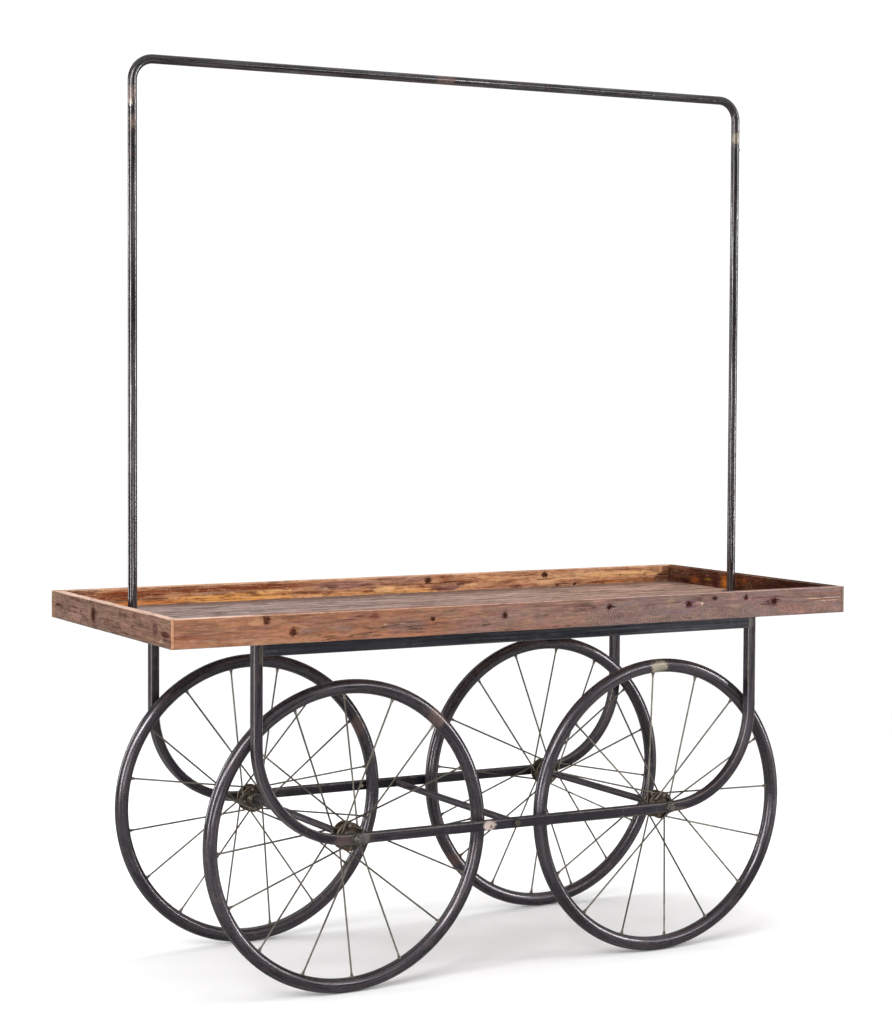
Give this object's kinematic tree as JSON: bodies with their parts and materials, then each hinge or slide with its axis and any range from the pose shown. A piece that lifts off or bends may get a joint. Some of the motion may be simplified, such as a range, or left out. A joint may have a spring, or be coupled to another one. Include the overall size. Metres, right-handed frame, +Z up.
{
  "type": "weathered wooden display cart with wire-spoked wheels and hanging rack",
  "caption": "Long shallow wooden tray on a bent square-tube steel frame, with wire-spoked wheels that turn on round axles and a tall tube hoop to hang things from.",
  "frame": {"origin": "on the floor, under the middle of the cart", "axes": "+X along the tray to the right, +Y from the front side of the cart to its back side, +Z up"},
  "size_m": [1.7, 0.7, 2],
  "materials": {
    "board_wood": "worn bare reclaimed fir, brown with grey patches and light worn edges",
    "deck_wood": "weathered grey planks",
    "frame_steel": "dark worn steel with bare and rusty patches",
    "bolt_steel": "dull weathered zinc",
    "axle_steel": "dark oiled steel",
    "rack_steel": "dark burnished steel tube",
    "rim_steel": "dark worn steel with bare and rusty patches",
    "spoke_steel": "dull grey wire",
    "hub_steel": "brown rust"
  },
  "bodies": {
    "cart": {"tray_side_front": "board_wood", "tray_side_back": "board_wood", "tray_end_left": "board_wood", "tray_end_right": "board_wood", "deck_plank_1": "deck_wood", "deck_plank_2": "deck_wood", "deck_plank_3": "deck_wood", "deck_plank_4": "deck_wood", "deck_plank_5": "deck_wood", "deck_plank_6": "deck_wood", "upper_rail_front": "frame_steel", "upper_rail_back": "frame_steel", "cross_tube_left": "frame_steel", "cross_tube_middle": "frame_steel", "cross_tube_right": "frame_steel", "side_bow_front_left": "frame_steel", "side_bow_front_right": "frame_steel", "side_bow_back_left": "frame_steel", "side_bow_back_right": "frame_steel", "lower_tie_bar": "frame_steel", "tie_bar_bolts": "bolt_steel", "axle_left": "axle_steel", "axle_right": "axle_steel", "axle_spacers": "axle_steel", "axle_collars": "axle_steel", "axle_nuts": "bolt_steel", "rack_socket_left": "rack_steel", "rack_socket_right": "rack_steel", "rack_post_left": "rack_steel", "rack_post_right": "rack_steel", "rack_hoop_left": "rack_steel", "rack_hoop_right": "rack_steel"},
    "wheel_front_left": {"wheel_front_left_rim": "rim_steel", "wheel_front_left_spokes": "spoke_steel", "wheel_front_left_hub": "hub_steel"},
    "wheel_front_right": {"wheel_front_right_rim": "rim_steel", "wheel_front_right_spokes": "spoke_steel", "wheel_front_right_hub": "hub_steel"},
    "wheel_back_left": {"wheel_back_left_rim": "rim_steel", "wheel_back_left_spokes": "spoke_steel", "wheel_back_left_hub": "hub_steel"},
    "wheel_back_right": {"wheel_back_right_rim": "rim_steel", "wheel_back_right_spokes": "spoke_steel", "wheel_back_right_hub": "hub_steel"}
  },
  "joints": [
    {"name": "wheel_front_left_spin", "type": "hinge", "parent": "cart", "child": "wheel_front_left", "pos_m": [-0.401, -0.245, 0.336], "axis": [0, 1, 0], "continuous": true},
    {"name": "wheel_front_right_spin", "type": "hinge", "parent": "cart", "child": "wheel_front_right", "pos_m": [0.401, -0.245, 0.336], "axis": [0, 1, 0], "continuous": true},
    {"name": "wheel_back_left_spin", "type": "hinge", "parent": "cart", "child": "wheel_back_left", "pos_m": [-0.401, 0.245, 0.336], "axis": [0, 1, 0], "continuous": true},
    {"name": "wheel_back_right_spin", "type": "hinge", "parent": "cart", "child": "wheel_back_right", "pos_m": [0.401, 0.245, 0.336], "axis": [0, 1, 0], "continuous": true}
  ]
}
